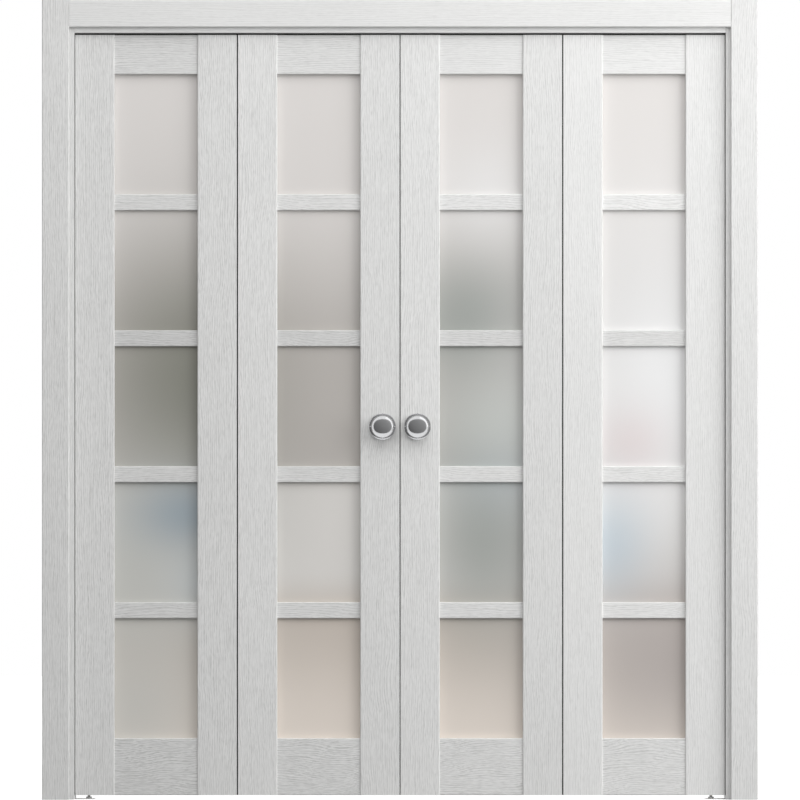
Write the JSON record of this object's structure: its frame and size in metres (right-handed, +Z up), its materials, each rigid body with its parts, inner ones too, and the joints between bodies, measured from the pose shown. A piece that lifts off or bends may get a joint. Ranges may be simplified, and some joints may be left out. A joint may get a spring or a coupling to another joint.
{
  "type": "folding door set in its frame",
  "caption": "Interior folding door set: glazed leaves hinged in pairs that fold to both sides, in a frame with casings, a top track and round knobs.",
  "frame": {"origin": "on the floor, at the middle of the set's width and of its depth over casings and knobs", "axes": "+X to the right seen from the knob side, +Y through the doorway from the knob side to the hinge side, +Z up"},
  "size_m": [2.004, 0.17, 2.239],
  "materials": {
    "ash_wood": "satin",
    "frosted_glass": "frosted",
    "track_aluminium": "satin",
    "hinge_steel": "satin",
    "nylon": "matte",
    "white_coated_steel": "satin",
    "seal_rubber": "matte",
    "knob_chrome": "polished"
  },
  "bodies": {
    "root": {"left_jamb": "ash_wood", "right_jamb": "ash_wood", "head_jamb": "ash_wood", "front_left_casing": "ash_wood", "front_right_casing": "ash_wood", "front_head_casing": "ash_wood", "back_left_casing": "ash_wood", "back_right_casing": "ash_wood", "back_head_casing": "ash_wood", "top_track": "track_aluminium", "leaf_1_left_stile": "ash_wood", "leaf_1_right_stile": "ash_wood", "leaf_1_top_rail": "ash_wood", "leaf_1_bottom_rail": "ash_wood", "leaf_1_cross_bars": "ash_wood", "leaf_1_panes": "frosted_glass", "leaf_2_left_stile": "ash_wood", "leaf_2_right_stile": "ash_wood", "leaf_2_top_rail": "ash_wood", "leaf_2_bottom_rail": "ash_wood", "leaf_2_cross_bars": "ash_wood", "leaf_2_panes": "frosted_glass", "leaf_3_left_stile": "ash_wood", "leaf_3_right_stile": "ash_wood", "leaf_3_top_rail": "ash_wood", "leaf_3_bottom_rail": "ash_wood", "leaf_3_cross_bars": "ash_wood", "leaf_3_panes": "frosted_glass", "leaf_4_left_stile": "ash_wood", "leaf_4_right_stile": "ash_wood", "leaf_4_top_rail": "ash_wood", "leaf_4_bottom_rail": "ash_wood", "leaf_4_cross_bars": "ash_wood", "leaf_4_panes": "frosted_glass", "gap_seals": "seal_rubber", "top_pivot_sockets": "nylon", "pivot_pins": "nylon", "roller_pins": "hinge_steel", "rollers": "nylon", "bottom_pivot_brackets": "white_coated_steel", "hinge_outer_flaps": "hinge_steel", "hinge_inner_flaps": "hinge_steel", "hinge_pins": "hinge_steel", "knob_rosettes": "knob_chrome", "left_knob": "knob_chrome", "right_knob": "knob_chrome"}
  },
  "joints": []
}
